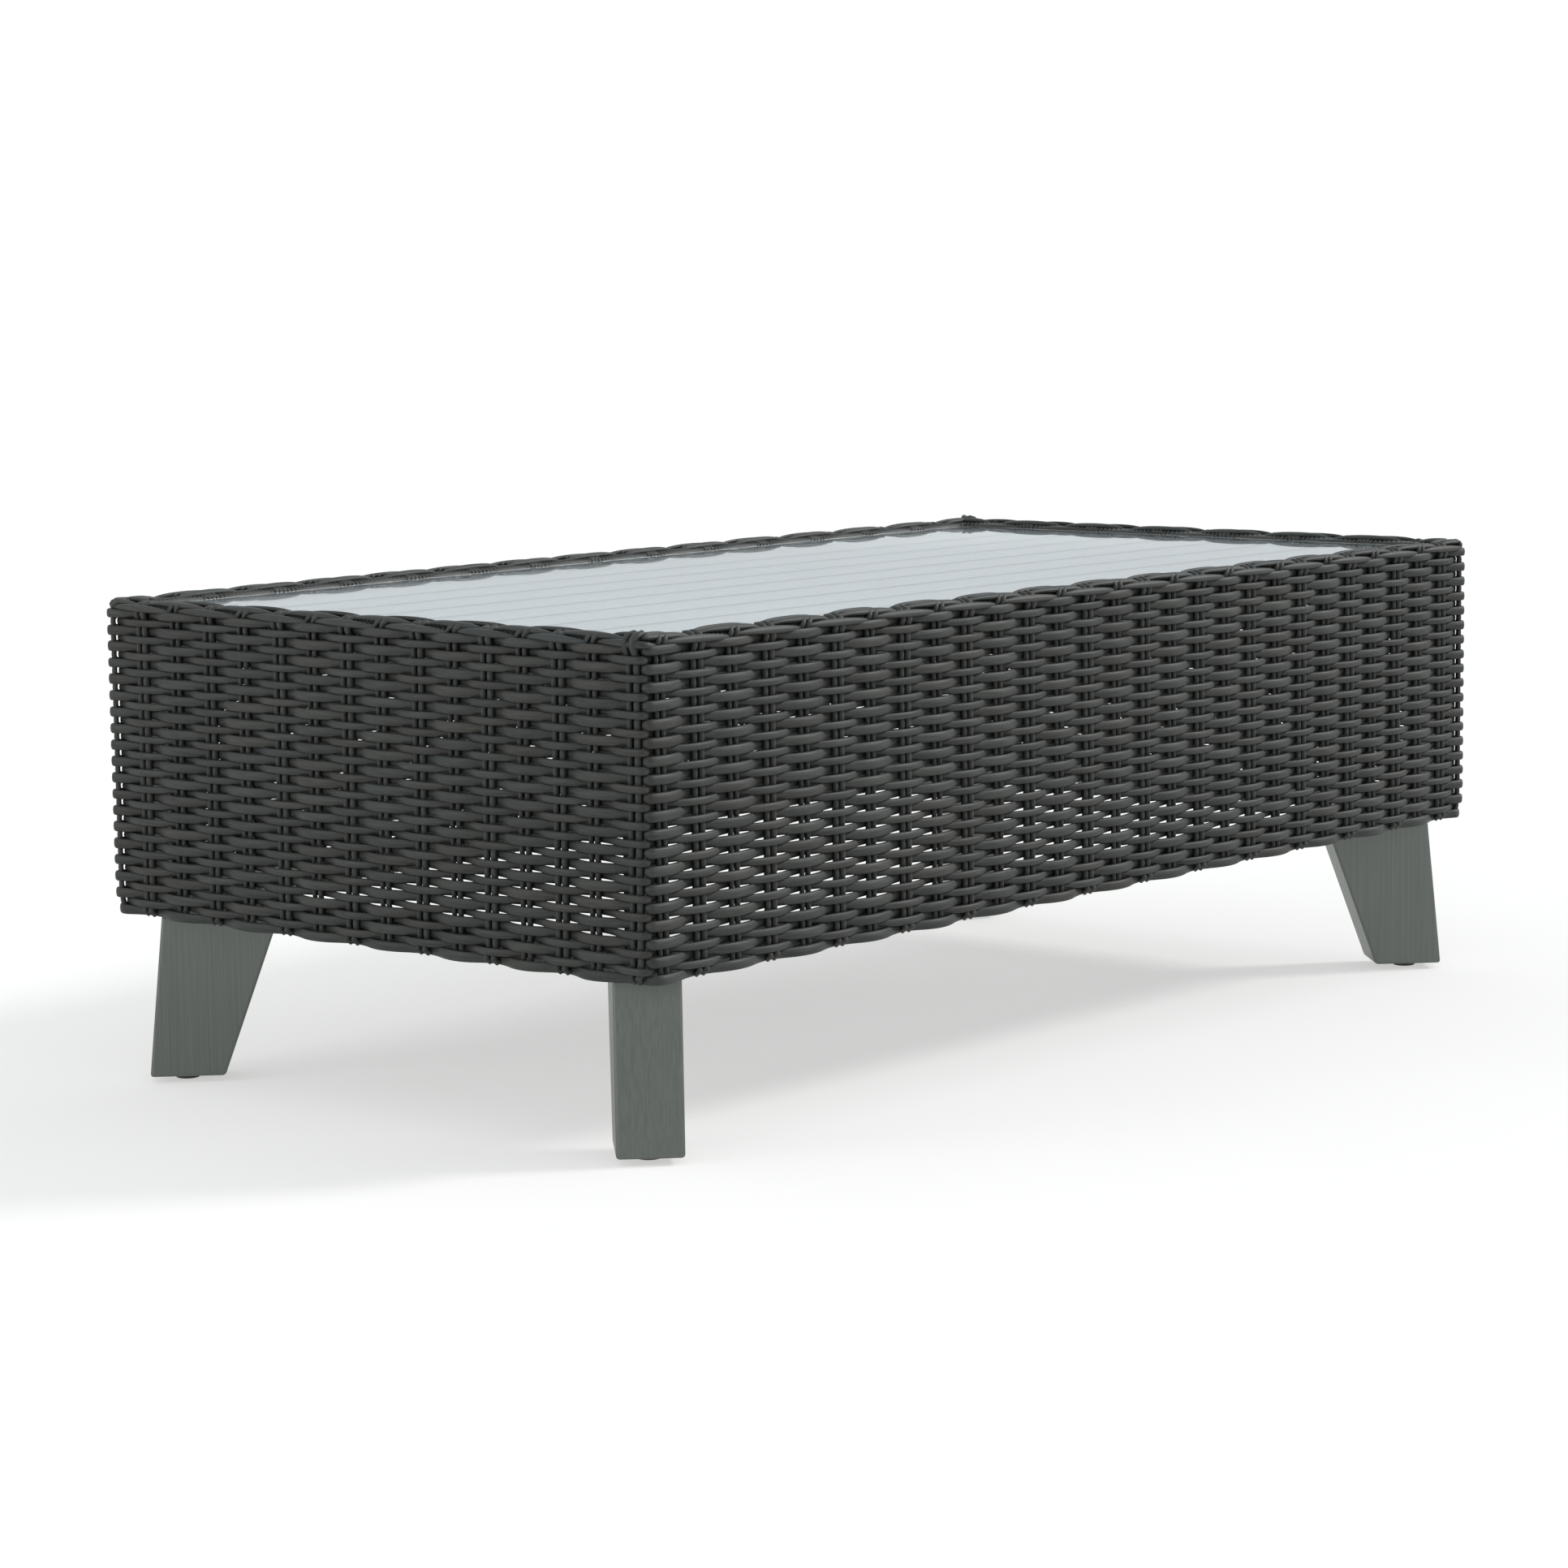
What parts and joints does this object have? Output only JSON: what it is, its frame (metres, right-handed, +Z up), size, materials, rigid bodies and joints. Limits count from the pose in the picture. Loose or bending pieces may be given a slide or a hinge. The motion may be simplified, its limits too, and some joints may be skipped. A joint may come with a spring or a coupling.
{
  "type": "wicker coffee table",
  "caption": "Low rectangular garden coffee table with woven resin sides, a loose glass pane over a slatted aluminium top, and tapered aluminium slab legs set across the corners.",
  "frame": {"origin": "on the floor, under the middle of the table", "axes": "+X along the length towards the right end, +Y towards the back, +Z up"},
  "size_m": [1.206, 0.632, 0.422],
  "materials": {
    "resin_wicker": "round extruded resin strands, charcoal with warm and cool streaks, fine lengthwise grain",
    "leg_aluminium": "grey-green, brushed along the leg, satin lacquer",
    "frame_aluminium": "dark grey powder coat",
    "top_aluminium": "light silver powder coat, smooth",
    "stainless_steel": "plain turned stainless steel",
    "pane": "clear tempered glass with ground edges",
    "clear_silicone": "clear soft silicone",
    "pad_plastic": "black moulded plastic"
  },
  "bodies": {
    "frame": {"glass_bumpers": "clear_silicone", "rim_front": "resin_wicker", "rim_back": "resin_wicker", "rim_left": "resin_wicker", "rim_right": "resin_wicker", "wicker_front": "resin_wicker", "wicker_back": "resin_wicker", "wicker_left": "resin_wicker", "wicker_right": "resin_wicker", "top_rail_front": "top_aluminium", "top_rail_back": "top_aluminium", "top_rail_left": "top_aluminium", "top_rail_right": "top_aluminium", "bottom_rail_front": "frame_aluminium", "bottom_rail_back": "frame_aluminium", "bottom_rail_left": "frame_aluminium", "bottom_rail_right": "frame_aluminium", "slat_1": "top_aluminium", "slat_2": "top_aluminium", "slat_3": "top_aluminium", "slat_4": "top_aluminium", "slat_5": "top_aluminium", "slat_6": "top_aluminium", "slat_7": "top_aluminium", "slat_8": "top_aluminium", "cross_bar_1": "frame_aluminium", "cross_bar_2": "frame_aluminium", "cross_bar_3": "frame_aluminium", "cross_bar_4": "frame_aluminium", "slat_screws": "stainless_steel", "corner_post_front_left": "frame_aluminium", "corner_post_front_right": "frame_aluminium", "corner_post_back_left": "frame_aluminium", "corner_post_back_right": "frame_aluminium", "corner_gusset_front_left": "frame_aluminium", "corner_gusset_front_right": "frame_aluminium", "corner_gusset_back_left": "frame_aluminium", "corner_gusset_back_right": "frame_aluminium", "leg_plate_front_left": "leg_aluminium", "leg_plate_front_right": "leg_aluminium", "leg_plate_back_left": "leg_aluminium", "leg_plate_back_right": "leg_aluminium", "leg_front_left": "leg_aluminium", "leg_front_right": "leg_aluminium", "leg_back_left": "leg_aluminium", "leg_back_right": "leg_aluminium", "leg_bolts": "stainless_steel"},
    "glass": {"glass_top": "pane"},
    "foot_front_left": {"foot_stud_front_left": "stainless_steel", "foot_pad_front_left": "pad_plastic"},
    "foot_front_right": {"foot_stud_front_right": "stainless_steel", "foot_pad_front_right": "pad_plastic"},
    "foot_back_left": {"foot_stud_back_left": "stainless_steel", "foot_pad_back_left": "pad_plastic"},
    "foot_back_right": {"foot_stud_back_right": "stainless_steel", "foot_pad_back_right": "pad_plastic"}
  },
  "joints": [
    {"name": "glass_lift", "type": "slide", "parent": "frame", "child": "glass", "axis": [0, 0, 1], "range_m": [0, 0.15]},
    {"name": "foot_screw_front_left", "type": "slide", "parent": "frame", "child": "foot_front_left", "axis": [0, 0, -1], "range_m": [0, 0.006]},
    {"name": "foot_screw_front_right", "type": "slide", "parent": "frame", "child": "foot_front_right", "axis": [0, 0, -1], "range_m": [0, 0.006]},
    {"name": "foot_screw_back_left", "type": "slide", "parent": "frame", "child": "foot_back_left", "axis": [0, 0, -1], "range_m": [0, 0.006]},
    {"name": "foot_screw_back_right", "type": "slide", "parent": "frame", "child": "foot_back_right", "axis": [0, 0, -1], "range_m": [0, 0.006]}
  ]
}
